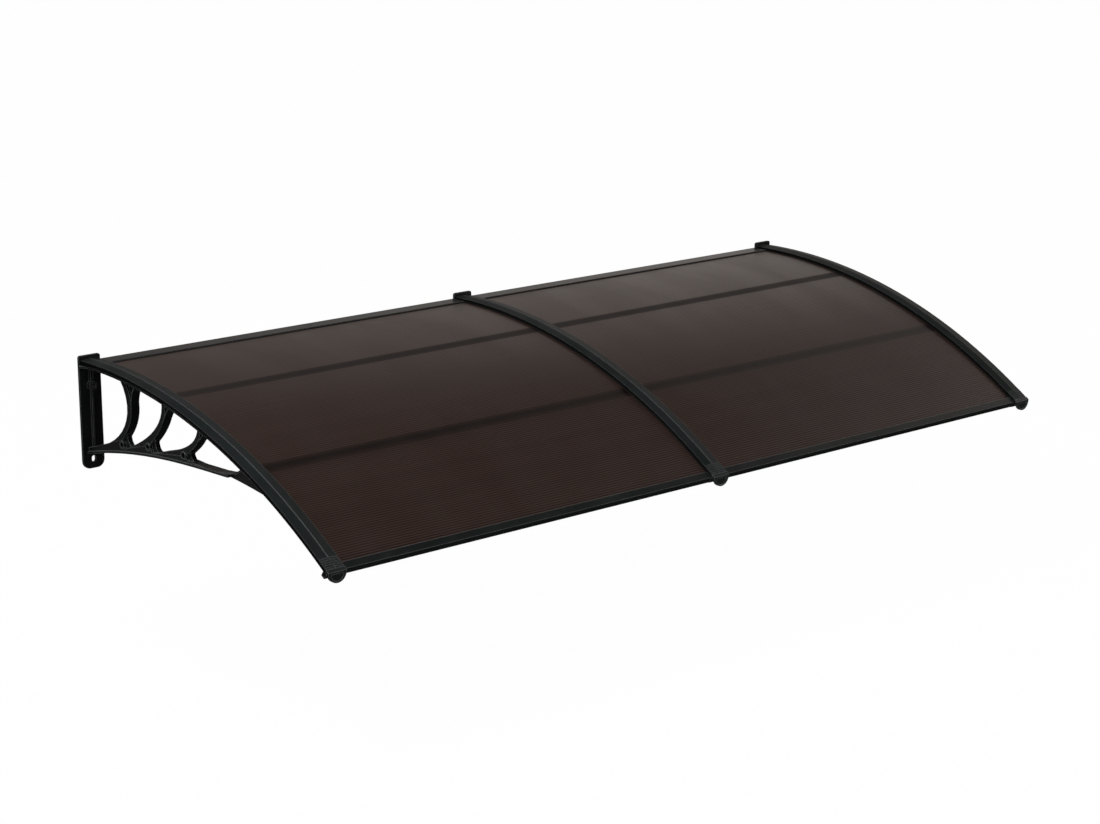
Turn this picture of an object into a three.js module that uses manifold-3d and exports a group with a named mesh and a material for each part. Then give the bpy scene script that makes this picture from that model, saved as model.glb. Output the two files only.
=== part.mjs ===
// A door canopy for two bays: three moulded wall brackets carry two bent twin-wall sheets, which are
// held by cover strips with rubber seals, nose caps, edge bars and cross bars.
// Millimetres, +Z up. The wall is the plane y = 0 and the canopy reaches out to -y.
// The origin is the middle of the centre bracket's wall plate, on the wall.
import * as THREE from 'three';
import { mergeVertices } from 'three/addons/utils/BufferGeometryUtils.js';
import Module from 'manifold-3d';

const wasm = await Module();
wasm.setup();

// Overall sizes
const BAY = 1170; // spacing of the brackets
const DEPTH = 1010; // wall to the front end of the cover strips
const PLATE_HEIGHT = 286;
const ARC_RADIUS = 1697; // underside of the bent sheets
const CREST_FORWARD = 53; // crest of the arc in front of the wall
const FIT_GAP = 0.3; // clearance between neighbouring pieces
const END_PLAY = 1; // play at the ends of sheets, strips and bars

// Wall plate
const PLATE_WIDTH = 60;
const PLATE_THICK = 6;
const PLATE_ABOVE_SEAT = 23.5; // plate top above the crest of the sheets' underside
const PLATE_TOP_CORNER = 6;
const PLATE_FOOT_CORNER = 20;
const HOLE_DIAMETER = 11;
const LOWER_HOLE_PLAY = 5; // the lower hole is a slot, longer than wide by this
const UPPER_HOLE_DROP = 75; // below the plate top
const LOWER_HOLE_RISE = 24; // above the plate bottom
const BOSS_DIAMETER = 21;
const BOSS_RISE = 14;
const PLATE_RIB_WIDTH = 4;
const PLATE_RIB_RISE = 8;
const TWIN_RIB_SPACING = 7;
const TWIN_RIB_WIDTH = 2.4;

// Arched arm and lower frame of a bracket
const ARM_WIDTH = 36;
const ARM_THICK = 5;
const ROOT_FLARE_LENGTH = 42; // the arm widens to the plate over this length
const SPINE_WIDTH = 6;
const TOE_LENGTH = 12;
const TOE_DEPTH = 13;
const FRAME_WIDTH = 24; // lower arm
const STRUT_INSET = 0.3; // struts and leaf rib stand back this far from the lower arm's sides, rims twice
const GUSSET_WIDTH = 12; // webs in the corners of the struts, and the leaf
const LOWER_RIB_WIDTH = 30;
const LOWER_RIB_THICK = 6;
const LEAF_RIB_THICK = 3;
const HEAD_RIM_THICK = 3; // rims along the front of the upper gussets
const FOOT_SINK = 2; // the struts start this far inside the lower arm
const EYE_OUTER = 20;
const EYE_INNER = 14;
const EYE_RIM = 2; // the eyes stand out this far on both sides

// Sheets, strips and caps
const SHEET_THICK = 5;
const SHEET_REAR = 7.5; // rear edge of the sheets in front of the wall
const STRIP_WIDTH = 50;
const STRIP_EDGE = 7;
const STRIP_RIDGE = 10;
const STRIP_FOOT = 8; // width of the strip's edges that press on the sheets
const STRIP_WALL = 3.2; // thickness of the strip at its ridge
const GROOVE_WIDTH = 2.6; // shallow groove along the ridge
const GROOVE_DEPTH = 1;
const GRIP_RIBS = 5;
const GRIP_RIB_PITCH = 6.5;
const GRIP_RIB_WIDTH = 2.6;
const GRIP_RIB_RISE = 1.1;
const LIP_LENGTH = 10;
const LIP_THICK = 4;
const CAP_THICK = 7;
const CAP_RIM = 4;
const CAP_RECESS = 1.6;
const SEAL_WIDTH = 3.5; // rubber seals along the strips
const SEAL_HEIGHT = 2.6;

// Bars
const REAR_BAR_FLANGE = 48;
const REAR_BAR_LOWER = 21; // flange under the sheet
const REAR_BAR_BACK = 1; // back of the bar in front of the wall
const REAR_BAR_THICK = 2.8;
const BEAD_WIDTH = 3;
const BEAD_THICK = 1.6;
const FRONT_BAR_FLANGE = 20;
const FRONT_BAR_LOWER = 14; // flange under the sheet
const FRONT_BAR_FACE = 18;
const BAR_THICK = 2;
const BAR_RETURN = 7;
const CROSS_BAR_WIDTH = 28;
const CROSS_BAR_LIP = 11;
const CROSS_BAR_THICK = 1.8;
const CROSS_BAR_PLACES = [0.3465, 0.695]; // shares of the depth

// Levels that follow from the sizes above
const CREST_HEIGHT = PLATE_HEIGHT / 2 - PLATE_ABOVE_SEAT;
const CENTRE_HEIGHT = CREST_HEIGHT - ARC_RADIUS;
const SHEET_INNER = ARC_RADIUS + FIT_GAP;
const SHEET_OUTER = SHEET_INNER + SHEET_THICK;
const STRIP_INNER = SHEET_OUTER + FIT_GAP;
const RIDGE_RADIUS = STRIP_INNER + STRIP_RIDGE;
const CAP_RADIUS = STRIP_WIDTH / 2;
const SEALED_WIDTH = STRIP_WIDTH + 2 * (FIT_GAP + SEAL_WIDTH); // a strip with both its seals
const REAR_BAR_LENGTH = BAY - Math.max(PLATE_WIDTH, SEALED_WIDTH) - 2 * FIT_GAP;
const HOLLOW_HALF = STRIP_WIDTH / 2 - STRIP_FOOT; // half width of the hollow under a strip
const HOLLOW_AT_SPINE = (STRIP_RIDGE - STRIP_WALL) * (1 - SPINE_WIDTH / 2 / HOLLOW_HALF);
const SPINE_RADIUS = STRIP_INNER + HOLLOW_AT_SPINE - FIT_GAP;
const ARM_BOTTOM = ARC_RADIUS - ARM_THICK;
const TIP_ANGLE = Math.asin((DEPTH - CREST_FORWARD) / RIDGE_RADIUS);
const UPPER_HOLE = PLATE_HEIGHT / 2 - UPPER_HOLE_DROP;
const LOWER_HOLE = LOWER_HOLE_RISE - PLATE_HEIGHT / 2;
const ARC_STEPS = 30;
const CURVE_STEPS = 12;
const GUSSET_STEPS = 4;
const ROUND_STEPS = 10;
const CORNER_STEPS = 3;
const GUSSET_REACH = 0.7; // head gussets start this far up the struts, foot gussets end as far down
const WELD = 1e-4;

function finish(color, roughness, metalness) {
  return new THREE.MeshStandardMaterial({ color, roughness, metalness });
}

const blackPlastic = () => finish(0x1d2122, 0.45, 0);
const brownSheet = () => finish(0x4a3d38, 0.2, 0);
const darkBar = () => finish(0x2a2c2c, 0.4, 0.6);
const blackRubber = () => finish(0x111111, 0.8, 0);

// Closed geometry to solid and back
function toSolid(geometry) {
  const bare = new THREE.BufferGeometry();
  bare.setAttribute('position', geometry.getAttribute('position'));
  if (geometry.index) bare.setIndex(geometry.index);
  const welded = mergeVertices(bare, WELD);
  const vertProperties = new Float32Array(welded.getAttribute('position').array);
  const triVerts = new Uint32Array(welded.index.array);
  return new wasm.Manifold(new wasm.Mesh({ numProp: 3, vertProperties, triVerts }));
}

function toGeometry(solid) {
  const mesh = solid.getMesh();
  const geometry = new THREE.BufferGeometry();
  geometry.setAttribute('position', new THREE.BufferAttribute(new Float32Array(mesh.vertProperties), 3));
  geometry.setIndex(new THREE.BufferAttribute(new Uint32Array(mesh.triVerts), 1));
  geometry.computeVertexNormals();
  return geometry;
}

const join = (solids) => solids.reduce((whole, piece) => whole.add(piece));

// The arc that everything follows: angle 0 at its crest, growing towards the front
const arcForward = (radius, angle) => CREST_FORWARD + radius * Math.sin(angle);
const arcHeight = (radius, angle) => CENTRE_HEIGHT + radius * Math.cos(angle);
const angleAt = (radius, forward) => Math.asin((forward - CREST_FORWARD) / radius);
const armUnderside = (forward) => arcHeight(ARM_BOTTOM, angleAt(ARM_BOTTOM, forward));

class CanopyArc extends THREE.Curve {
  constructor(radius, frontAngle, rearAngle) {
    super();
    this.radius = radius;
    this.frontAngle = frontAngle;
    this.rearAngle = rearAngle;
  }

  getPoint(t, target = new THREE.Vector3()) {
    const angle = THREE.MathUtils.lerp(this.frontAngle, this.rearAngle, t);
    return target.set(0, -arcForward(this.radius, angle), arcHeight(this.radius, angle));
  }
}

// Section points are [across towards -x, outward from the radius]; the sweep runs from front to wall
function sweepAlongArc(section, radius, frontAngle, rearAngle, steps = ARC_STEPS) {
  const shape = new THREE.Shape(section.map(([across, out]) => new THREE.Vector2(across, out)));
  const extrudePath = new CanopyArc(radius, frontAngle, rearAngle);
  return new THREE.ExtrudeGeometry(shape, { steps, extrudePath });
}

const boxSection = (width, low, high) => [
  [-width / 2, low],
  [width / 2, low],
  [width / 2, high],
  [-width / 2, high],
];

// A shape drawn as [forward, up] becomes a solid of that side view, centred across x
function acrossWidth(shape, width, curveSegments = ROUND_STEPS) {
  const geometry = new THREE.ExtrudeGeometry(shape, { depth: width, bevelEnabled: false, curveSegments });
  geometry.translate(0, 0, -width / 2);
  const forward = new THREE.Vector3(0, -1, 0);
  const up = new THREE.Vector3(0, 0, 1);
  const side = new THREE.Vector3(-1, 0, 0);
  return geometry.applyMatrix4(new THREE.Matrix4().makeBasis(forward, up, side));
}

// A shape drawn as [x, z] becomes a solid that reaches from the plane y = -start out by thick
function offTheWall(shape, start, thick, curveSegments = ROUND_STEPS) {
  const geometry = new THREE.ExtrudeGeometry(shape, { depth: thick, bevelEnabled: false, curveSegments });
  geometry.translate(0, 0, start);
  const right = new THREE.Vector3(1, 0, 0);
  const up = new THREE.Vector3(0, 0, 1);
  const out = new THREE.Vector3(0, -1, 0);
  return geometry.applyMatrix4(new THREE.Matrix4().makeBasis(right, up, out));
}

const polygon = (points) => new THREE.Shape(points.map(([x, y]) => new THREE.Vector2(x, y)));

function rectangle(left, bottom, right, top) {
  return polygon([
    [left, bottom],
    [right, bottom],
    [right, top],
    [left, top],
  ]);
}

function disc(x, y, diameter) {
  return new THREE.Shape().absarc(x, y, diameter / 2, 0, Math.PI * 2);
}

// An upright slot with round ends
function slot(x, y, width, play) {
  const outline = new THREE.Shape().absarc(x, y + play / 2, width / 2, 0, Math.PI);
  return outline.absarc(x, y - play / 2, width / 2, Math.PI, Math.PI * 2);
}

// Rings of equal point count, joined one to the next and closed by flat ends
function loft(rings) {
  const size = rings[0].length;
  const positions = rings.flat(2);
  const index = [];
  for (let ring = 0; ring + 1 < rings.length; ring += 1) {
    for (let side = 0; side < size; side += 1) {
      const a = ring * size + side;
      const b = ring * size + ((side + 1) % size);
      index.push(a, b, a + size, b, b + size, a + size);
    }
  }
  const last = (rings.length - 1) * size;
  for (let side = 1; side + 1 < size; side += 1) {
    index.push(0, side + 1, side, last, last + side, last + side + 1);
  }
  const geometry = new THREE.BufferGeometry();
  geometry.setAttribute('position', new THREE.Float32BufferAttribute(positions, 3));
  geometry.setIndex(index);
  return geometry;
}

// Places in a bracket's side view: a share of the depth, and a share of the plate height below the arm
const place = ([along, drop]) => {
  const forward = along * DEPTH;
  return [forward, armUnderside(forward) - drop * PLATE_HEIGHT];
};

function curvePoints(controls, steps = CURVE_STEPS) {
  const vectors = controls.map(([x, y]) => new THREE.Vector2(x, y));
  const Curve = controls.length === 3 ? THREE.QuadraticBezierCurve : THREE.CubicBezierCurve;
  return new Curve(...vectors).getPoints(steps).map((p) => place([p.x, p.y]));
}

const INTO_ARM = -0.009; // struts, gussets and leaf reach this share of the plate height into the arm
const ROOT = PLATE_THICK / 2 / DEPTH; // the lower arm starts inside the plate

const LOWER_EDGE_CURVE = [[ROOT, 0.767], [0.198, 0.612], [0.446, 0.415], [0.614, 0.181]];
const LEAF_CURVE = [[0.614, 0.181], [0.713, 0.085], [0.792, INTO_ARM]];
const BRANCH_CURVE = [[0.668, INTO_ARM], [0.639, 0.12], [0.589, 0.185]];
const LEAF_FOOT = [0.579, 0.221];
const BEAM_TOP = [[0.594, 0.183], [0.55, 0.247], [0.485, 0.311], [0.457, 0.3315]];
const ROOT_TOP = [ROOT, 0.712];

// Rear and front edge of each strut from its foot to the arm, the edges of its two corner gussets,
// its eye, and the floor of the pocket between eye and foot gusset
const STRUTS = [
  {
    rear: [[0.0594, 0.652], [0.1535, 0.571], [0.2376, 0.266], [0.1594, INTO_ARM]],
    front: [[0.1614, 0.52], [0.2059, 0.37], [0.2297, 0.17], [0.1822, INTO_ARM]],
    headGusset: [[0.2297, INTO_ARM], [0.2109, 0.06], [0.2074, 0.172]],
    footGusset: [[0.1782, 0.4535], [0.1762, 0.541], [0.1941, 0.554]],
    eye: [0.161, 0.566],
    floor: [0.1743, 0.596],
  },
  {
    rear: [[0.1802, 0.578], [0.2822, 0.407], [0.3515, 0.183], [0.3416, INTO_ARM]],
    front: [[0.2822, 0.44], [0.3267, 0.293], [0.3614, 0.124], [0.3564, INTO_ARM]],
    headGusset: [[0.3752, INTO_ARM], [0.3604, 0.07], [0.3485, 0.14]],
    footGusset: [[0.301, 0.37], [0.298, 0.448], [0.3149, 0.467]],
    eye: [0.2767, 0.46],
    floor: [0.2921, 0.49],
  },
  {
    rear: [[0.302, 0.48], [0.4208, 0.306], [0.4851, 0.174], [0.4921, INTO_ARM]],
    front: [[0.4366, 0.32], [0.4703, 0.209], [0.5, 0.112], [0.504, INTO_ARM]],
    headGusset: [[0.5208, INTO_ARM], [0.5069, 0.05], [0.4946, 0.1]],
    footGusset: [[0.4505, 0.25], [0.4505, 0.32], [0.4673, 0.3265]],
    eye: [0.4302, 0.323],
    floor: [0.4446, 0.345],
  },
];

function wallPlate() {
  const half = PLATE_WIDTH / 2;
  const top = PLATE_HEIGHT / 2;
  const quarter = Math.PI / 2;
  const footX = half - PLATE_FOOT_CORNER;
  const footZ = PLATE_FOOT_CORNER - top;
  const topX = half - PLATE_TOP_CORNER;
  const topZ = top - PLATE_TOP_CORNER;
  const outline = new THREE.Shape();
  outline.absarc(footX, footZ, PLATE_FOOT_CORNER, -quarter, 0);
  outline.absarc(topX, topZ, PLATE_TOP_CORNER, 0, quarter);
  outline.absarc(-topX, topZ, PLATE_TOP_CORNER, quarter, 2 * quarter);
  outline.absarc(-footX, footZ, PLATE_FOOT_CORNER, 2 * quarter, 3 * quarter);
  const ribFoot = place(LOWER_EDGE_CURVE[0])[1];
  const ribRise = PLATE_THICK + PLATE_RIB_RISE;
  const rib = rectangle(-PLATE_RIB_WIDTH / 2, ribFoot, PLATE_RIB_WIDTH / 2, UPPER_HOLE);
  const solids = [
    toSolid(offTheWall(outline, 0, PLATE_THICK, CORNER_STEPS)),
    toSolid(offTheWall(disc(0, UPPER_HOLE, BOSS_DIAMETER), 0, PLATE_THICK + BOSS_RISE)),
    toSolid(offTheWall(rib, 0, ribRise)),
  ];
  for (const side of [-1, 1]) {
    const left = (side * TWIN_RIB_SPACING - TWIN_RIB_WIDTH) / 2;
    const twin = rectangle(left, UPPER_HOLE, left + TWIN_RIB_WIDTH, armUnderside(ribRise) + ARM_THICK / 2);
    solids.push(toSolid(offTheWall(twin, 0, ribRise)));
  }
  return join(solids);
}

// The arm is cut from a wide curved band by its plan outline, which flares to the plate
function archedArm() {
  const rear = angleAt(ARC_RADIUS, PLATE_THICK / 2);
  const band = toSolid(sweepAlongArc(boxSection(PLATE_WIDTH, -ARM_THICK, 0), ARC_RADIUS, TIP_ANGLE, rear));
  const wide = PLATE_WIDTH / 2;
  const narrow = ARM_WIDTH / 2;
  const flareEnd = -PLATE_THICK - ROOT_FLARE_LENGTH;
  const plan = new THREE.Shape();
  plan.moveTo(-wide, 0);
  plan.lineTo(-wide, -PLATE_THICK);
  plan.quadraticCurveTo(-narrow, -PLATE_THICK - ROOT_FLARE_LENGTH / 4, -narrow, flareEnd);
  plan.lineTo(-narrow, -2 * DEPTH);
  plan.lineTo(narrow, -2 * DEPTH);
  plan.lineTo(narrow, flareEnd);
  plan.quadraticCurveTo(narrow, -PLATE_THICK - ROOT_FLARE_LENGTH / 4, wide, -PLATE_THICK);
  plan.lineTo(wide, 0);
  const depth = 4 * DEPTH;
  const column = new THREE.ExtrudeGeometry(plan, { depth, bevelEnabled: false, curveSegments: ROUND_STEPS });
  column.translate(0, 0, -depth / 2);
  const spineSection = boxSection(SPINE_WIDTH, -ARM_THICK / 2, SPINE_RADIUS - ARC_RADIUS);
  const innerFront = TIP_ANGLE - END_PLAY / ARC_RADIUS;
  const spine = toSolid(sweepAlongArc(spineSection, ARC_RADIUS, innerFront, rear));
  const toeRear = innerFront - TOE_LENGTH / ARC_RADIUS;
  const toeSection = boxSection(ARM_WIDTH, -ARM_THICK - TOE_DEPTH, -ARM_THICK / 2);
  const toe = toSolid(sweepAlongArc(toeSection, ARC_RADIUS, innerFront, toeRear, 1));
  let arm = join([band.intersect(toSolid(column)), spine, toe]);
  for (const share of CROSS_BAR_PLACES) {
    arm = arm.subtract(barNotch(angleAt(ARC_RADIUS, share * DEPTH)));
  }
  return arm;
}

// Shallow seats across the arm, one at each side of the spine, for the tongues of a cross bar
function barNotch(angle) {
  const half = (CROSS_BAR_WIDTH / 2 + FIT_GAP) / ARC_RADIUS;
  const depth = CROSS_BAR_THICK + 2 * FIT_GAP;
  const section = boxSection(2 * ARM_WIDTH, -depth, SHEET_THICK / 2);
  const seat = toSolid(sweepAlongArc(section, ARC_RADIUS, angle + half, angle - half, 1));
  const keep = boxSection(SPINE_WIDTH, -ARM_THICK, SHEET_THICK);
  return seat.subtract(toSolid(sweepAlongArc(keep, ARC_RADIUS, angle + 2 * half, angle - 2 * half, 1)));
}

// The lower arm from the wall plate to its front end, below the feet and pockets of the struts
function lowerArm() {
  const feet = STRUTS.flatMap(({ rear, front, floor }) => [rear[0], front[0], floor]).reverse();
  const top = [...BEAM_TOP, ...feet, ROOT_TOP].map(place);
  return toSolid(acrossWidth(polygon([...curvePoints(LOWER_EDGE_CURVE), ...top]), FRAME_WIDTH));
}

// The leaf joins the front end of the lower arm to the arched arm
function leaf() {
  const outline = [...curvePoints(LEAF_CURVE), ...curvePoints(BRANCH_CURVE), place(LEAF_FOOT)];
  return toSolid(acrossWidth(polygon(outline), GUSSET_WIDTH));
}

// A rib that follows one edge of the lower frame and ends within the arm
function edgeRib(points, thick, width) {
  const insideArm = (forward) => armUnderside(forward) + ARM_THICK - END_PLAY;
  const back = points.map(([forward, up]) => [forward, Math.min(up + thick, insideArm(forward))]).reverse();
  return toSolid(acrossWidth(polygon([...points, ...back]), width));
}

// A crescent between two curves, with its foot sunk into the lower arm
function strut({ rear, front }) {
  const rearPoints = curvePoints(rear);
  const half = FRAME_WIDTH / 2 - STRUT_INSET;
  const rings = curvePoints(front).map(([forward, up], step) => {
    const [rearForward, rearUp] = rearPoints[step];
    const sink = step === 0 ? FOOT_SINK : 0;
    return [
      [-half, -forward, up - sink],
      [half, -forward, up - sink],
      [half, -rearForward, rearUp - sink],
      [-half, -rearForward, rearUp - sink],
    ];
  });
  return toSolid(loft(rings));
}

// Thin webs in the two corners in front of a strut, closed along the middle of the strut,
// and a rim almost as wide as the strut along the front of the upper one
function gussets({ rear, front, headGusset, footGusset, eye, floor }) {
  const rearPoints = curvePoints(rear);
  const middle = curvePoints(front).map(([forward, up], step) => [
    (forward + rearPoints[step][0]) / 2,
    (up + rearPoints[step][1]) / 2,
  ]);
  const headStart = Math.round(CURVE_STEPS * GUSSET_REACH);
  const footEnd = CURVE_STEPS - headStart;
  const headEdge = curvePoints(headGusset, GUSSET_STEPS);
  const head = [...headEdge, ...middle.slice(headStart)];
  const foot = [...curvePoints(footGusset, GUSSET_STEPS), place(floor), place(eye), middle[footEnd]];
  const rimBack = headEdge.map(([forward, up]) => [forward - HEAD_RIM_THICK, up]).reverse();
  const rim = toSolid(acrossWidth(polygon([...headEdge, ...rimBack]), FRAME_WIDTH - 4 * STRUT_INSET));
  return [rim, ...[head, foot].map((outline) => toSolid(acrossWidth(polygon(outline), GUSSET_WIDTH)))];
}

function bracketGeometry() {
  const eyes = STRUTS.map(({ eye }) => place(eye));
  const eyeLength = FRAME_WIDTH + 2 * EYE_RIM;
  const solids = [
    wallPlate(),
    archedArm(),
    lowerArm(),
    leaf(),
    edgeRib(curvePoints(LOWER_EDGE_CURVE), LOWER_RIB_THICK, LOWER_RIB_WIDTH),
    edgeRib(curvePoints(BRANCH_CURVE).reverse(), -LEAF_RIB_THICK, FRAME_WIDTH - 2 * STRUT_INSET),
    ...STRUTS.map(strut),
    ...STRUTS.flatMap(gussets),
    ...eyes.map(([forward, up]) => toSolid(acrossWidth(disc(forward, up, EYE_OUTER), eyeLength))),
  ];
  let bracket = join(solids);
  for (const [forward, up] of eyes) {
    bracket = bracket.subtract(toSolid(acrossWidth(disc(forward, up, EYE_INNER), PLATE_WIDTH)));
  }
  const holes = [disc(0, UPPER_HOLE, HOLE_DIAMETER), slot(0, LOWER_HOLE, HOLE_DIAMETER, LOWER_HOLE_PLAY)];
  for (const hole of holes) {
    const drill = offTheWall(hole, -PLATE_THICK, 2 * (PLATE_THICK + BOSS_RISE));
    bracket = bracket.subtract(toSolid(drill));
  }
  return toGeometry(bracket);
}

// A roof section, hollow over the spine and grooved along its ridge, with raised grip ribs near its front end
function stripGeometry() {
  const half = STRIP_WIDTH / 2;
  const lip = GROOVE_WIDTH / 2;
  const lipHeight = THREE.MathUtils.lerp(STRIP_RIDGE, STRIP_EDGE, lip / half);
  const section = [
    [-half, 0],
    [-HOLLOW_HALF, 0],
    [0, STRIP_RIDGE - STRIP_WALL],
    [HOLLOW_HALF, 0],
    [half, 0],
    [half, STRIP_EDGE],
    [lip, lipHeight],
    [0, lipHeight - GROOVE_DEPTH],
    [-lip, lipHeight],
    [-half, STRIP_EDGE],
  ];
  const rear = angleAt(RIDGE_RADIUS, PLATE_THICK + END_PLAY);
  const solids = [toSolid(sweepAlongArc(section, STRIP_INNER, TIP_ANGLE, rear))];
  const ribSection = [
    [-half, STRIP_EDGE / 2],
    [0, STRIP_RIDGE - STRIP_WALL / 2],
    [half, STRIP_EDGE / 2],
    [half, STRIP_EDGE + GRIP_RIB_RISE],
    [0, STRIP_RIDGE + GRIP_RIB_RISE],
    [-half, STRIP_EDGE + GRIP_RIB_RISE],
  ];
  for (let rib = 0; rib < GRIP_RIBS; rib += 1) {
    const front = TIP_ANGLE - ((rib + 0.5) * GRIP_RIB_PITCH) / STRIP_INNER;
    const back = front - GRIP_RIB_WIDTH / STRIP_INNER;
    solids.push(toSolid(sweepAlongArc(ribSection, STRIP_INNER, front, back, 1)));
  }
  return toGeometry(join(solids));
}

// A lip that carries on from the strip, and a half disc that hangs upright below it
function noseCapGeometry() {
  const lipFrontAngle = TIP_ANGLE + (LIP_LENGTH + FIT_GAP) / STRIP_INNER;
  const lipRearAngle = TIP_ANGLE + FIT_GAP / STRIP_INNER;
  const lipLow = STRIP_EDGE - LIP_THICK / 2;
  const lipSection = boxSection(STRIP_WIDTH, lipLow, lipLow + LIP_THICK);
  const lip = toSolid(sweepAlongArc(lipSection, STRIP_INNER, lipFrontAngle, lipRearAngle, 1));
  const discTop = arcHeight(STRIP_INNER + lipLow + LIP_THICK / 2, lipFrontAngle);
  const discFront = arcForward(STRIP_INNER + lipLow + LIP_THICK / 2, lipFrontAngle);
  const recessRadius = CAP_RADIUS - 2 * CAP_RIM;
  const half = new THREE.Shape().absarc(0, discTop, CAP_RADIUS, Math.PI, 2 * Math.PI);
  const recess = new THREE.Shape().absarc(0, discTop - CAP_RIM, recessRadius, Math.PI, 2 * Math.PI);
  const face = toSolid(offTheWall(half, discFront - CAP_THICK, CAP_THICK));
  const sunk = toSolid(offTheWall(recess, discFront - CAP_RECESS, CAP_RECESS + 1));
  return toGeometry(join([lip, face]).subtract(sunk));
}

// A rounded seal on a sheet, beside the strip's edge on the given side, 1 for +x, behind the front bar
function sealGeometry(side) {
  const inner = STRIP_WIDTH / 2 + FIT_GAP;
  const section = [
    [-side * inner, 0],
    [-side * (inner + SEAL_WIDTH), 0],
    [-side * (inner + SEAL_WIDTH * Math.SQRT1_2), SEAL_HEIGHT * Math.SQRT1_2],
    [-side * inner, SEAL_HEIGHT],
  ];
  const front = TIP_ANGLE - (FRONT_BAR_FLANGE - BAR_THICK) / STRIP_INNER;
  const rear = angleAt(STRIP_INNER, SHEET_REAR + END_PLAY);
  return sweepAlongArc(section, STRIP_INNER, front, rear);
}

function sheetGeometry() {
  const width = BAY - SPINE_WIDTH - 2 * END_PLAY;
  const section = boxSection(width, 0, SHEET_THICK);
  return sweepAlongArc(section, SHEET_INNER, TIP_ANGLE, angleAt(SHEET_INNER, SHEET_REAR));
}

// A channel that grips the rear edge of a sheet, drawn as [forward, up]
function rearBarGeometry() {
  const back = REAR_BAR_BACK;
  const front = back + REAR_BAR_FLANGE;
  const top = arcHeight(SHEET_OUTER, angleAt(SHEET_OUTER, front)) + FIT_GAP;
  const low = arcHeight(SHEET_INNER, angleAt(SHEET_INNER, SHEET_REAR)) - FIT_GAP;
  const inner = back + REAR_BAR_THICK;
  const outline = polygon([
    [back, low - BAR_THICK],
    [back + REAR_BAR_LOWER, low - BAR_THICK],
    [back + REAR_BAR_LOWER, low],
    [inner, low],
    [inner, top],
    [front, top],
    [front, top + REAR_BAR_THICK / 2],
    [front - REAR_BAR_THICK, top + REAR_BAR_THICK],
    [back, top + REAR_BAR_THICK],
  ]);
  return acrossWidth(outline, REAR_BAR_LENGTH);
}

function beadGeometry() {
  const rear = REAR_BAR_BACK + REAR_BAR_FLANGE + FIT_GAP;
  const bottom = arcHeight(SHEET_OUTER, angleAt(SHEET_OUTER, rear + BEAD_WIDTH)) + FIT_GAP;
  const outline = new THREE.Shape();
  outline.moveTo(rear, bottom);
  outline.lineTo(rear + BEAD_WIDTH, bottom);
  outline.quadraticCurveTo(rear + BEAD_WIDTH, bottom + BEAD_THICK, rear, bottom + BEAD_THICK);
  return acrossWidth(outline, REAR_BAR_LENGTH);
}

// A channel on the front edge of a sheet, drawn as [along the arc, outward] from the tip of the sheet
function frontBarGeometry() {
  const face = END_PLAY + BAR_THICK;
  const top = SHEET_THICK + FIT_GAP;
  const low = -FIT_GAP;
  const foot = top + BAR_THICK - FRONT_BAR_FACE;
  const outline = polygon([
    [face, top + BAR_THICK],
    [face - FRONT_BAR_FLANGE, top + BAR_THICK],
    [face - FRONT_BAR_FLANGE, top],
    [face - BAR_THICK, top],
    [face - BAR_THICK, low],
    [face - FRONT_BAR_LOWER, low],
    [face - FRONT_BAR_LOWER, low - BAR_THICK],
    [face - BAR_THICK, low - BAR_THICK],
    [face - BAR_THICK, foot + BAR_THICK],
    [face - BAR_RETURN, foot + BAR_THICK],
    [face - BAR_RETURN, foot],
    [face, foot],
  ]);
  return acrossWidth(outline, BAY - STRIP_WIDTH - 2 * FIT_GAP);
}

// A shallow channel under a sheet, whose top plate ends in tongues that lie on the arms
function crossBarGeometry() {
  const half = CROSS_BAR_WIDTH / 2;
  const plate = rectangle(-half, -CROSS_BAR_THICK, half, 0);
  const channel = polygon([
    [-half, -CROSS_BAR_LIP],
    [CROSS_BAR_THICK - half, -CROSS_BAR_LIP],
    [CROSS_BAR_THICK - half, -CROSS_BAR_THICK],
    [half - CROSS_BAR_THICK, -CROSS_BAR_THICK],
    [half - CROSS_BAR_THICK, -CROSS_BAR_LIP],
    [half, -CROSS_BAR_LIP],
    [half, 0],
    [-half, 0],
  ]);
  const tongues = toSolid(acrossWidth(plate, BAY - SPINE_WIDTH - 2 * END_PLAY));
  return toGeometry(tongues.add(toSolid(acrossWidth(channel, BAY - ARM_WIDTH - 2 * END_PLAY))));
}

const canopy = new THREE.Group();

function put(name, geometry, material, x = 0) {
  const mesh = new THREE.Mesh(geometry, material);
  mesh.name = name;
  mesh.position.x = x;
  canopy.add(mesh);
  return mesh;
}

const brackets = { left: -BAY, middle: 0, right: BAY };
const bracketShape = bracketGeometry();
const stripShape = stripGeometry();
const noseCapShape = noseCapGeometry();
for (const [side, x] of Object.entries(brackets)) {
  put(`bracket_${side}`, bracketShape, blackPlastic(), x);
  put(`cover_strip_${side}`, stripShape, blackPlastic(), x);
  put(`nose_cap_${side}`, noseCapShape, blackPlastic(), x);
}

const sealOnLeft = sealGeometry(-1);
const sealOnRight = sealGeometry(1);
put('strip_seal_left', sealOnRight, blackRubber(), brackets.left);
put('strip_seal_middle_left', sealOnLeft, blackRubber(), brackets.middle);
put('strip_seal_middle_right', sealOnRight, blackRubber(), brackets.middle);
put('strip_seal_right', sealOnLeft, blackRubber(), brackets.right);

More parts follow.
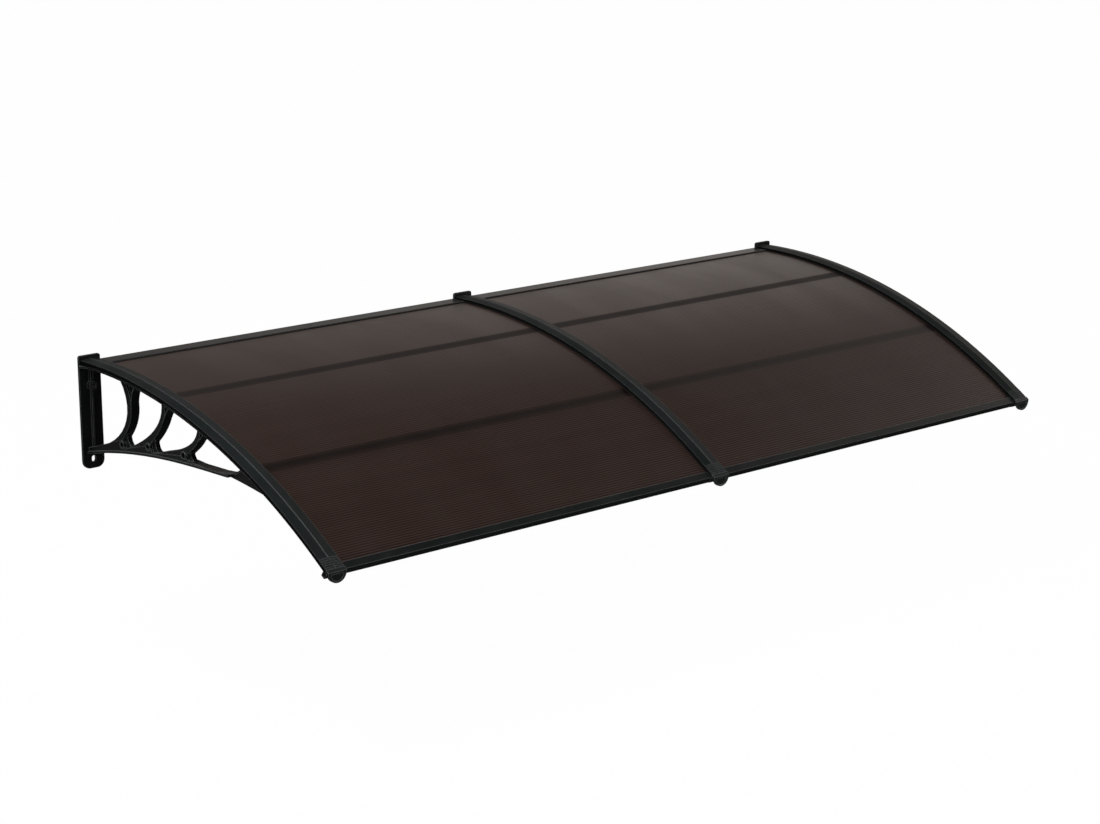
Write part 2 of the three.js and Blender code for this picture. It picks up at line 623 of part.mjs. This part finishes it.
const bays = { left: -BAY / 2, right: BAY / 2 };
const sheetShape = sheetGeometry();
const rearBarShape = rearBarGeometry();
const beadShape = beadGeometry();
const frontBarShape = frontBarGeometry();
const crossBarShape = crossBarGeometry();
for (const [side, x] of Object.entries(bays)) {
  put(`sheet_${side}`, sheetShape, brownSheet(), x);
  put(`rear_bar_${side}`, rearBarShape, darkBar(), x);
  put(`rear_bead_${side}`, beadShape, blackRubber(), x);
  const frontBar = put(`front_bar_${side}`, frontBarShape, darkBar(), x);
  frontBar.position.y = -arcForward(SHEET_INNER, TIP_ANGLE);
  frontBar.position.z = arcHeight(SHEET_INNER, TIP_ANGLE);
  frontBar.rotation.x = TIP_ANGLE;
  CROSS_BAR_PLACES.forEach((share, row) => {
    const angle = angleAt(ARC_RADIUS, share * DEPTH);
    const bar = put(`cross_bar_${side}_${row + 1}`, crossBarShape, darkBar(), x);
    bar.position.y = -arcForward(ARC_RADIUS, angle);
    bar.position.z = arcHeight(ARC_RADIUS, angle);
    bar.rotation.x = angle;
  });
}

export default canopy;
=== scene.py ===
import math

import bpy
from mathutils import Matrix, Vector


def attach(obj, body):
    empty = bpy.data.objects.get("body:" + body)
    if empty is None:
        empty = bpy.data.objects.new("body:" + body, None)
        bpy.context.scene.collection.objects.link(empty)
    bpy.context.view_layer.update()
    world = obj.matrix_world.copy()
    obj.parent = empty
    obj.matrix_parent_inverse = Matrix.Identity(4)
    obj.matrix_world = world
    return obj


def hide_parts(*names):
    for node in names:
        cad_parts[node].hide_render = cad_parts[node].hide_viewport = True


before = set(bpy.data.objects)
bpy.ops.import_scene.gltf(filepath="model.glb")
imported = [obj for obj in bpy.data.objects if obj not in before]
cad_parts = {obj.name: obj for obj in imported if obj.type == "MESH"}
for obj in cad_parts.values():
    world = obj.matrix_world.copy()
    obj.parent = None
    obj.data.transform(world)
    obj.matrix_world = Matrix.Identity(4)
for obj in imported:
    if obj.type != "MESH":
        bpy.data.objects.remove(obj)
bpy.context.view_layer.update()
scene = bpy.context.scene
scene.view_settings.view_transform = "Standard"

# The arc that the sheets follow and the places of the bars on it, in metres, as the frame was built
BAY = 1.170  # spacing of the brackets
DEPTH = 1.010  # wall to the front end of the cover strips
ARM_RADIUS = 1.697  # top of the arms, under the sheets
ARC_CENTRE_Y = -0.053
ARC_CENTRE_Z = -1.5775
STRIP_RIDGE = 0.010  # height of the cover strips over the sheets
SHEET_GAP = 0.0003
SHEET_THICK = 0.005
SHEET_PLAY = 0.008  # side to side between two spines
SHEET_WIDTH = BAY - SHEET_PLAY
SHEET_REAR = 0.0075  # rear edge in front of the wall
RIDGE_RADIUS = ARM_RADIUS + SHEET_GAP + SHEET_THICK + SHEET_GAP + STRIP_RIDGE
SHEET_TIP_ANGLE = math.asin((DEPTH + ARC_CENTRE_Y) / RIDGE_RADIUS)
SHEET_STEPS = 90
CROSS_BARS = (0.34997, 0.70195)  # middles of the bars in front of the wall
# The dark bands of the cross bars are painted shade in the sheet's colour
BAR_SHIFT = -0.002  # of their dark bands along the arc
BAR_SHADE_BANDS = {"Bar": (0.0155, 0.0025), "Bar core": (0.004, 0.009)}  # half width and soft edge
FLUTE_PITCH = 0.0070
FLUTE_WALL = (0.10, 0.24)  # half width and soft edge of an inner wall, as shares of the pitch
BRACKETS = ("left", "middle", "right")
BAYS = {"left": -BAY / 2, "right": BAY / 2}
STRIP_SEALS = ("left", "middle_left", "middle_right", "right")

# Camera at the photograph's viewing angle
CAMERA_PLACE = (-4.18876, -5.20232, 1.49557)
CAMERA_AZIMUTH = math.radians(-40.920)
CAMERA_ELEVATION = math.radians(14.226)
CAMERA_LENS = 81.36

# Stage and light
FLOOR_LEVEL = -0.62
FLOOR_SIZE = 40.0
FLOOR_WHITE = 0.985  # share of the floor's white that takes no shadow
FLOOR_IN_GLOSS = (0.33, 0.02)  # level in the pool that the lower arms mirror, and outside it
GLOSS_POOL = (-2.6, 1.25, FLOOR_LEVEL)
GLOSS_POOL_EDGE = (0.35, 0.65)
ROOM_LEVEL = 0.3  # even light from all round
WALL_IN_GLOSS = (0.155, 0.60)  # level of the mirrored wall, from its near to its far end
WALL_ENDS = (0.45, 0.78)  # these two ends, along X
WALL_TOP = (0.50, 0.64)  # where the wall fades out upwards
FAR_CORNER = (0.76, 0.79)  # where a white screen begins beyond the far end, along X
FAR_CORNER_FOOT = (0.42, 0.56)  # and where it begins upwards
WALL_WARM = (1.0, 0.91, 0.85)

# Colours that more than one finish uses
# The pale colour of the highlight that is painted along edges
EDGE_HIGHLIGHT_PALE = (0.190, 0.200, 0.200)
DUST_GREY = (0.30, 0.31, 0.30)


def arc_angle(forward, radius=ARM_RADIUS):
    return math.asin((forward + ARC_CENTRE_Y) / radius)


def photo_camera():
    camera = bpy.data.cameras.new("photo_camera")
    camera.sensor_fit = "HORIZONTAL"
    camera.sensor_width = 36.0
    camera.lens = CAMERA_LENS
    camera.clip_end = 100.0
    stand = bpy.data.objects.new("photo_camera", camera)
    scene.collection.objects.link(stand)
    level = math.cos(CAMERA_ELEVATION)
    looking = Vector((
        -math.sin(CAMERA_AZIMUTH) * level,
        math.cos(CAMERA_AZIMUTH) * level,
        -math.sin(CAMERA_ELEVATION),
    ))
    stand.location = CAMERA_PLACE
    stand.rotation_euler = looking.to_track_quat("-Z", "Y").to_euler()
    scene.camera = stand


# Node helpers

def new_material(name):
    material = bpy.data.materials.new(name)
    material.use_nodes = True
    tree = material.node_tree
    tree.nodes.clear()
    output = tree.nodes.new("ShaderNodeOutputMaterial")
    return material, tree, output


def plug(tree, socket, value):
    """A plain number or colour is set on the socket, anything else is linked to it."""
    if hasattr(value, "is_output"):
        tree.links.new(value, socket)
    elif isinstance(value, tuple) and len(value) == 3:
        socket.default_value = (*value, 1.0)
    else:
        socket.default_value = value


def math_node(tree, operation, first, second=0.0):
    node = tree.nodes.new("ShaderNodeMath")
    node.operation = operation
    plug(tree, node.inputs[0], first)
    plug(tree, node.inputs[1], second)
    return node.outputs[0]


def smooth_step(tree, value, low, high, start=0.0, end=1.0):
    node = tree.nodes.new("ShaderNodeMapRange")
    node.interpolation_type = "SMOOTHSTEP"
    plug(tree, node.inputs["Value"], value)
    plug(tree, node.inputs["From Min"], low)
    plug(tree, node.inputs["From Max"], high)
    plug(tree, node.inputs["To Min"], start)
    plug(tree, node.inputs["To Max"], end)
    return node.outputs["Result"]


def stripe(tree, value, middle, half, soft):
    """1 where the value is within half of the middle, fading to 0 over soft."""
    away = math_node(tree, "ABSOLUTE", math_node(tree, "SUBTRACT", value, middle))
    return smooth_step(tree, away, half, half + soft, 1.0, 0.0)


def noise(tree, vector, scale, detail=3.0, roughness=0.55):
    node = tree.nodes.new("ShaderNodeTexNoise")
    plug(tree, node.inputs["Vector"], vector)
    plug(tree, node.inputs["Scale"], scale)
    plug(tree, node.inputs["Detail"], detail)
    plug(tree, node.inputs["Roughness"], roughness)
    return node.outputs["Fac"]


def mix_colour(tree, factor, first, second):
    node = tree.nodes.new("ShaderNodeMix")
    node.data_type = "RGBA"
    plug(tree, node.inputs[0], factor)
    plug(tree, node.inputs[6], first)
    plug(tree, node.inputs[7], second)
    return node.outputs[2]


def object_place(tree):
    return tree.nodes.new("ShaderNodeTexCoord").outputs["Object"]


def split(tree, vector):
    node = tree.nodes.new("ShaderNodeSeparateXYZ")
    plug(tree, node.inputs[0], vector)
    return node.outputs


def stretched(tree, vector, scale):
    node = tree.nodes.new("ShaderNodeMapping")
    plug(tree, node.inputs["Vector"], vector)
    node.inputs["Scale"].default_value = scale
    return node.outputs["Vector"]


def new_group(name, inputs, outputs):
    group = bpy.data.node_groups.new(name, "ShaderNodeTree")
    for label, value in inputs:
        socket = group.interface.new_socket(name=label, in_out="INPUT", socket_type="NodeSocketFloat")
        socket.default_value = value
    for label in outputs:
        group.interface.new_socket(name=label, in_out="OUTPUT", socket_type="NodeSocketFloat")
    return group, group.nodes.new("NodeGroupInput"), group.nodes.new("NodeGroupOutput")


def use_group(tree, group, **values):
    node = tree.nodes.new("ShaderNodeGroup")
    node.node_tree = group
    for label, value in values.items():
        node.inputs[label.replace("_", " ").capitalize()].default_value = value
    return node.outputs


def moulded_grain_group():
    """Fine moulding grain, soft flow marks and light scuffs for moulded or coated pieces."""
    group, source, result = new_group(
        "moulded_grain", [("Grain size", 0.0006), ("Scuff size", 0.05)], ["Height", "Mottle", "Scuff"])
    place = object_place(group)
    grain = noise(group, place, math_node(group, "DIVIDE", 1.0, source.outputs["Grain size"]), detail=2.0)
    flow = noise(group, place, 9.0, detail=4.0)
    scuff_scale = math_node(group, "DIVIDE", 1.0, source.outputs["Scuff size"])
    scuff = noise(group, place, scuff_scale, detail=6.0, roughness=0.7)
    group.links.new(grain, result.inputs["Height"])
    group.links.new(smooth_step(group, flow, 0.3, 0.7), result.inputs["Mottle"])
    group.links.new(smooth_step(group, scuff, 0.55, 0.75), result.inputs["Scuff"])
    return group


def settled_dust_group():
    """A thin film of dust on faces that look up, thicker in patches."""
    group, source, result = new_group("settled_dust", [("Patch size", 0.12)], ["Dust"])
    normal = group.nodes.new("ShaderNodeNewGeometry").outputs["Normal"]
    upward = smooth_step(group, split(group, normal)["Z"], 0.55, 0.98)
    patch_scale = math_node(group, "DIVIDE", 1.0, source.outputs["Patch size"])
    patches = noise(group, object_place(group), patch_scale, detail=5.0, roughness=0.62)
    thick = smooth_step(group, patches, 0.35, 0.75)
    group.links.new(math_node(group, "MULTIPLY", upward, thick), result.inputs["Dust"])
    return group


def painted_edge_highlight_group():
    """1 along edges and corners, where a pale highlight is painted into the colour."""
    group, source, result = new_group("painted_edge_highlight", [("Width", 0.002)], ["Edge"])
    bevel = group.nodes.new("ShaderNodeBevel")
    bevel.samples = 4
    group.links.new(source.outputs["Width"], bevel.inputs["Radius"])
    facing = group.nodes.new("ShaderNodeVectorMath")
    facing.operation = "DOT_PRODUCT"
    group.links.new(bevel.outputs["Normal"], facing.inputs[0])
    group.links.new(group.nodes.new("ShaderNodeNewGeometry").outputs["Normal"], facing.inputs[1])
    edge = smooth_step(group, facing.outputs["Value"], 0.86, 0.99, 1.0, 0.0)
    group.links.new(edge, result.inputs["Edge"])
    return group


def sheet_flutes_and_bar_shade_group():
    """Inner walls of the twin-wall sheet along the bay, and the painted shade bands where the cross bars lie
    under it.
    """
    group, source, result = new_group(
        "sheet_flutes", [("Pitch", FLUTE_PITCH)], ["Wall", "Pillow", "Cell tone", "Bar", "Bar core"])
    apart = split(group, object_place(group))
    forward = math_node(group, "SUBTRACT", ARC_CENTRE_Y, apart["Y"])
    up = math_node(group, "SUBTRACT", apart["Z"], ARC_CENTRE_Z)
    length = math_node(group, "MULTIPLY", math_node(group, "ARCTAN2", forward, up), ARM_RADIUS)
    count = math_node(group, "DIVIDE", length, source.outputs["Pitch"])
    share = math_node(group, "FRACT", count)
    group.links.new(stripe(group, share, 0.5, *FLUTE_WALL), result.inputs["Wall"])
    pillow = math_node(group, "COSINE", math_node(group, "MULTIPLY", share, 2.0 * math.pi))
    group.links.new(pillow, result.inputs["Pillow"])
    tone = group.nodes.new("ShaderNodeTexWhiteNoise")
    tone.noise_dimensions = "1D"
    group.links.new(math_node(group, "FLOOR", count), tone.inputs["W"])
    group.links.new(tone.outputs["Value"], result.inputs["Cell tone"])
    for label, (half, soft) in BAR_SHADE_BANDS.items():
        middles = [arc_angle(bar) * ARM_RADIUS + BAR_SHIFT for bar in CROSS_BARS]
        marks = [stripe(group, length, middle, half, soft) for middle in middles]
        group.links.new(math_node(group, "MAXIMUM", *marks), result.inputs[label])
    return group


def rounded_normal(tree, radius, height=None, strength=0.2, distance=0.0002):
    """Normal with softly rounded edges, and a bump on top where a height is given."""
    bevel = tree.nodes.new("ShaderNodeBevel")
    bevel.samples = 4
    bevel.inputs["Radius"].default_value = radius
    if height is None:
        return bevel.outputs["Normal"]
    bump = tree.nodes.new("ShaderNodeBump")
    bump.inputs["Strength"].default_value = strength
    bump.inputs["Distance"].default_value = distance
    tree.links.new(height, bump.inputs["Height"])
    tree.links.new(bevel.outputs["Normal"], bump.inputs["Normal"])
    return bump.outputs["Normal"]


def shaded_material(name):
    material, tree, output = new_material(name)
    shader = tree.nodes.new("ShaderNodeBsdfPrincipled")
    tree.links.new(shader.outputs[0], output.inputs["Surface"])
    return material, tree, shader.inputs


def moulded_plastic(name, dark, pale, smooth, worn, edge, edge_highlight, gloss, grain_size, grain_strength, side_shade=0.0):
    """Black plastic, mottled, with a pale highlight painted along its edges, and painted shade on the faces
    that look sideways where it is asked for.
    """
    material, tree, shader = shaded_material(name)
    grain = use_group(tree, MOULDED_GRAIN, grain_size=grain_size)
    dust = use_group(tree, SETTLED_DUST)
    highlit_edge = use_group(tree, EDGE_HIGHLIGHT, width=2.2 * edge)
    body = mix_colour(tree, grain["Mottle"], dark, pale)
    # Painted highlight: the colour turns pale along the edges
    body = mix_colour(tree, math_node(tree, "MULTIPLY", highlit_edge["Edge"], edge_highlight), body, EDGE_HIGHLIGHT_PALE)
    # Painted shade: faces that look sideways along X are darkened towards near black
    if side_shade:
        normal = split(tree, tree.nodes.new("ShaderNodeNewGeometry").outputs["Normal"])
        side = smooth_step(tree, math_node(tree, "ABSOLUTE", normal["X"]), 0.6, 0.9, 0.0, side_shade)
        body = mix_colour(tree, side, body, (0.001, 0.001, 0.001))
    haze = math_node(tree, "MULTIPLY", dust["Dust"], 0.02)
    plug(tree, shader["Base Color"], mix_colour(tree, haze, body, DUST_GREY))
    plug(tree, shader["Roughness"], smooth_step(tree, grain["Scuff"], 0.0, 1.0, smooth, worn))
    shader["Specular IOR Level"].default_value = gloss
    plug(tree, shader["Normal"], rounded_normal(tree, edge, grain["Height"], grain_strength))
    return material


def twin_wall_sheet():
    """Brown sheet with fine flutes along the bay and painted shade bands where the bars lie under it."""
    material, tree, shader = shaded_material("brown_twin_wall_sheet")
    flutes = use_group(tree, SHEET_FLUTES_AND_BAR_SHADE)
    dust = use_group(tree, SETTLED_DUST, patch_size=0.3)
    cell = mix_colour(tree, flutes["Cell tone"], (0.0610, 0.0352, 0.0282), (0.0720, 0.0416, 0.0334))
    body = mix_colour(tree, flutes["Wall"], cell, (0.0120, 0.0069, 0.0055))
    # Painted shade: a darker band, with a still darker core, where each cross bar lies under the sheet
    bar_shade = math_node(tree, "MULTIPLY", flutes["Bar"], 0.8)
    body = mix_colour(tree, bar_shade, body, (0.014, 0.0058, 0.0033))
    core = math_node(tree, "MULTIPLY", flutes["Bar core"], 0.7)
    body = mix_colour(tree, core, body, (0.004, 0.0016, 0.001))
    haze = math_node(tree, "MULTIPLY", dust["Dust"], 0.008)
    plug(tree, shader["Base Color"], mix_colour(tree, haze, body, (0.40, 0.37, 0.35)))
    wiped = noise(tree, stretched(tree, object_place(tree), (9.0, 2.0, 2.0)), 1.0, detail=4.0)
    polish = smooth_step(tree, wiped, 0.3, 0.7, 0.29, 0.35)
    rear = smooth_step(tree, split(tree, object_place(tree))["Y"], -0.60, -0.45, 0.04, 0.26)
    pressed = math_node(tree, "MULTIPLY", flutes["Bar"], rear)
    plug(tree, shader["Roughness"], math_node(tree, "ADD", polish, pressed))
    shader["IOR"].default_value = 1.5
    shader["Transmission Weight"].default_value = 0.4
    bump = tree.nodes.new("ShaderNodeBump")
    bump.inputs["Strength"].default_value = 0.1
    bump.inputs["Distance"].default_value = 0.0004
    tree.links.new(flutes["Pillow"], bump.inputs["Height"])
    plug(tree, shader["Normal"], bump.outputs["Normal"])
    return material


def coated_bar(name, dark, pale, smooth, worn):
    """Dark satin coating on drawn bars, with lines along the bar and a pale highlight painted along its
    edges.
    """
    material, tree, shader = shaded_material(name)
    grain = use_group(tree, MOULDED_GRAIN, grain_size=0.0004, scuff_size=0.03)
    dust = use_group(tree, SETTLED_DUST)
    highlit_edge = use_group(tree, EDGE_HIGHLIGHT, width=0.0022)
    drawn = noise(tree, stretched(tree, object_place(tree), (3.0, 900.0, 900.0)), 1.0, detail=2.0)
    body = mix_colour(tree, drawn, dark, pale)
    # Painted highlight: the colour turns pale along the edges
    body = mix_colour(tree, math_node(tree, "MULTIPLY", highlit_edge["Edge"], 0.7), body, EDGE_HIGHLIGHT_PALE)
    haze = math_node(tree, "MULTIPLY", dust["Dust"], 0.03)
    plug(tree, shader["Base Color"], mix_colour(tree, haze, body, DUST_GREY))
    plug(tree, shader["Roughness"], smooth_step(tree, grain["Scuff"], 0.0, 1.0, smooth, worn))
    plug(tree, shader["Normal"], rounded_normal(tree, 0.0006, drawn, 0.05, 0.0001))
    return material


def soft_rubber():
    """Matt black rubber of the seals and beads."""
    material, tree, shader = shaded_material("black_rubber")
    grain = use_group(tree, MOULDED_GRAIN, grain_size=0.0003)
    body = mix_colour(tree, grain["Mottle"], (0.0035, 0.0035, 0.0035), (0.007, 0.007, 0.007))
    plug(tree, shader["Base Color"], body)
    plug(tree, shader["Roughness"], smooth_step(tree, grain["Scuff"], 0.0, 1.0, 0.7, 0.85))
    shader["Specular IOR Level"].default_value = 0.12
    plug(tree, shader["Normal"], rounded_normal(tree, 0.0005, grain["Height"], 0.3))
    return material


def finish_node(names, material):
    for name in names:
        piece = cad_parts[name]
        piece.data.materials.clear()
        piece.data.materials.append(material)


# Stage and light

def straight_rays(tree, rays):
    """1 for what the camera sees, also through the sheets."""
    return math_node(tree, "MAXIMUM", rays["Is Camera Ray"], rays["Is Transmission Ray"])


def pale_floor():
    """White to the camera with the canopy's soft shadow on it, dim in gloss, and clear from below."""
    bpy.ops.object.select_all(action="DESELECT")
    bpy.ops.mesh.primitive_plane_add(size=FLOOR_SIZE)
    bpy.ops.object.mode_set(mode="EDIT")
    bpy.ops.transform.translate(value=(0.0, 0.0, FLOOR_LEVEL))
    bpy.ops.object.mode_set(mode="OBJECT")
    floor = bpy.context.active_object
    floor.name = "pale_floor"
    material, tree, output = new_material("pale_floor")
    shadowed = tree.nodes.new("ShaderNodeBsdfDiffuse")
    shadowed.inputs["Color"].default_value = (0.9, 0.9, 0.9, 1.0)
    white = tree.nodes.new("ShaderNodeEmission")
    rays = tree.nodes.new("ShaderNodeLightPath").outputs
    straight = straight_rays(tree, rays)
    away = tree.nodes.new("ShaderNodeVectorMath")
    away.operation = "DISTANCE"
    tree.links.new(object_place(tree), away.inputs[0])
    away.inputs[1].default_value = GLOSS_POOL
    mirrored = smooth_step(tree, away.outputs["Value"], *GLOSS_POOL_EDGE, *FLOOR_IN_GLOSS)
    plug(tree, white.inputs["Strength"], math_node(tree, "MAXIMUM", straight, mirrored))
    unlit = math_node(tree, "MULTIPLY", straight, FLOOR_WHITE)
    blend = tree.nodes.new("ShaderNodeMixShader")
    plug(tree, blend.inputs["Fac"], math_node(tree, "MAXIMUM", unlit, rays["Is Glossy Ray"]))
    tree.links.new(shadowed.outputs[0], blend.inputs[1])
    tree.links.new(white.outputs[0], blend.inputs[2])
    clear = tree.nodes.new("ShaderNodeBsdfTransparent")
    one_sided = tree.nodes.new("ShaderNodeMixShader")
    plug(tree, one_sided.inputs["Fac"], tree.nodes.new("ShaderNodeNewGeometry").outputs["Backfacing"])
    tree.links.new(blend.outputs[0], one_sided.inputs[1])
    tree.links.new(clear.outputs[0], one_sided.inputs[2])
    tree.links.new(one_sided.outputs[0], output.inputs["Surface"])
    floor.data.materials.append(material)


def studio_world():
    """White to the camera, a soft even room for the light, and a dim far wall in gloss."""
    world = bpy.data.worlds.new("studio")
    scene.world = world
    world.use_nodes = True
    tree = world.node_tree
    tree.nodes.clear()
    output = tree.nodes.new("ShaderNodeOutputWorld")
    direction = split(tree, tree.nodes.new("ShaderNodeTexCoord").outputs["Generated"])
    wall = smooth_step(tree, direction["X"], *WALL_ENDS, *WALL_IN_GLOSS)
    wall_top = smooth_step(tree, direction["Z"], *WALL_TOP, 1.0, 0.0)
    rays = tree.nodes.new("ShaderNodeLightPath").outputs
    screen = math_node(
        tree, "MULTIPLY", smooth_step(tree, direction["X"], *FAR_CORNER),
        smooth_step(tree, direction["Z"], *FAR_CORNER_FOOT))
    walls = math_node(tree, "MAXIMUM", math_node(tree, "MULTIPLY", wall, wall_top), screen)
    mirrored = math_node(tree, "MULTIPLY", walls, rays["Is Glossy Ray"])
    dull = math_node(tree, "SUBTRACT", 1.0, rays["Is Glossy Ray"])
    even = math_node(tree, "MULTIPLY", dull, ROOM_LEVEL)
    room = math_node(tree, "MAXIMUM", mirrored, even)
    background = tree.nodes.new("ShaderNodeBackground")
    plug(tree, background.inputs["Color"], mix_colour(
        tree, rays["Is Glossy Ray"], (1.0, 1.0, 1.0), WALL_WARM))
    plug(tree, background.inputs["Strength"], math_node(tree, "MAXIMUM", room, straight_rays(tree, rays)))
    tree.links.new(background.outputs[0], output.inputs["Surface"])


def soft_lamp(name, place, target, width, height, power):
    lamp = bpy.data.lights.new(name, "AREA")
    lamp.shape = "RECTANGLE"
    lamp.size = width
    lamp.size_y = height
    lamp.energy = power
    stand = bpy.data.objects.new(name, lamp)
    scene.collection.objects.link(stand)
    stand.location = place
    stand.rotation_euler = (Vector(target) - Vector(place)).to_track_quat("-Z", "Y").to_euler()


# Pieces modelled by hand

def settle(name, material):
    """Ends the work on the active piece: out of edit mode, named, finished and riding on the canopy."""
    bpy.ops.object.mode_set(mode="OBJECT")
    piece = bpy.context.active_object
    piece.name = name
    piece.data.name = name
    piece.data.materials.clear()
    piece.data.materials.append(material)
    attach(piece, "root")
    return piece


def bent_sheet(bay, middle):
    """One continuous sheet: its cross section at the wall end, spun forward along the arc."""
    inner = ARM_RADIUS + SHEET_GAP
    rear_angle = arc_angle(SHEET_REAR, inner)
    axis_point = (middle, ARC_CENTRE_Y, ARC_CENTRE_Z)
    bpy.ops.object.select_all(action="DESELECT")
    bpy.ops.mesh.primitive_plane_add(size=1.0)
    bpy.ops.object.mode_set(mode="EDIT")
    bpy.ops.mesh.select_all(action="SELECT")
    bpy.ops.transform.resize(value=(SHEET_WIDTH, SHEET_THICK, 1.0))
    bpy.ops.transform.rotate(value=math.pi / 2, orient_axis="X", center_override=(0.0, 0.0, 0.0))
    bpy.ops.transform.translate(value=(middle, ARC_CENTRE_Y, ARC_CENTRE_Z + inner + SHEET_THICK / 2))
    bpy.ops.transform.rotate(value=-rear_angle, orient_axis="X", center_override=axis_point)
    bpy.ops.mesh.spin(
        steps=SHEET_STEPS, angle=SHEET_TIP_ANGLE - rear_angle, center=axis_point, axis=(-1.0, 0.0, 0.0))
    bpy.ops.mesh.select_all(action="SELECT")
    bpy.ops.mesh.remove_doubles(threshold=1e-6)
    bpy.ops.mesh.normals_make_consistent(inside=False)
    sheet = settle(f"bent_sheet_{bay}", sheet_brown)
    bpy.ops.object.shade_smooth_by_angle(angle=math.radians(20.0))
    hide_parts(f"sheet_{bay}")


photo_camera()
MOULDED_GRAIN = moulded_grain_group()
SETTLED_DUST = settled_dust_group()
EDGE_HIGHLIGHT = painted_edge_highlight_group()
SHEET_FLUTES_AND_BAR_SHADE = sheet_flutes_and_bar_shade_group()

bracket_plastic = moulded_plastic(
    "bracket_plastic", dark=(0.0045, 0.005, 0.005), pale=(0.0065, 0.0072, 0.0072),
    smooth=0.32, worn=0.46, edge=0.0009, edge_highlight=0.9, gloss=0.5, grain_size=0.0007, grain_strength=0.2)
strip_plastic = moulded_plastic(
    "strip_plastic", dark=(0.0092, 0.0117, 0.0120), pale=(0.0120, 0.0150, 0.0154),
    smooth=0.46, worn=0.58, edge=0.0011, edge_highlight=0.5, gloss=0.14, grain_size=0.0009, grain_strength=0.14,
    side_shade=0.95)
cap_plastic = moulded_plastic(
    "cap_plastic", dark=(0.0100, 0.0126, 0.0128), pale=(0.0130, 0.0162, 0.0166),
    smooth=0.34, worn=0.46, edge=0.0011, edge_highlight=0.75, gloss=0.5, grain_size=0.0009, grain_strength=0.14)
sheet_brown = twin_wall_sheet()
dark_bar = coated_bar(
    "dark_bar", dark=(0.005, 0.0068, 0.0068), pale=(0.009, 0.0115, 0.0115), smooth=0.3, worn=0.44)
rubber = soft_rubber()

finish_node([f"bracket_{side}" for side in BRACKETS], bracket_plastic)
finish_node([f"nose_cap_{side}" for side in BRACKETS], cap_plastic)
finish_node([f"cover_strip_{side}" for side in BRACKETS], strip_plastic)
finish_node([f"sheet_{bay}" for bay in BAYS], sheet_brown)
for bar in ("rear_bar", "front_bar"):
    finish_node([f"{bar}_{bay}" for bay in BAYS], dark_bar)
finish_node([f"cross_bar_{bay}_{row}" for bay in BAYS for row in (1, 2)], dark_bar)
finish_node([f"rear_bead_{bay}" for bay in BAYS], rubber)
finish_node([f"strip_seal_{place}" for place in STRIP_SEALS], rubber)

for bay, middle in BAYS.items():
    bent_sheet(bay, middle)

pale_floor()
studio_world()
soft_lamp("key", (-2.7, -0.8, 3.7), (0.0, -0.5, 0.0), 1.8, 1.8, 122.0)
soft_lamp("fill", (3.6, -4.2, 3.0), (0.2, -0.6, 0.0), 1.6, 1.6, 40.0)
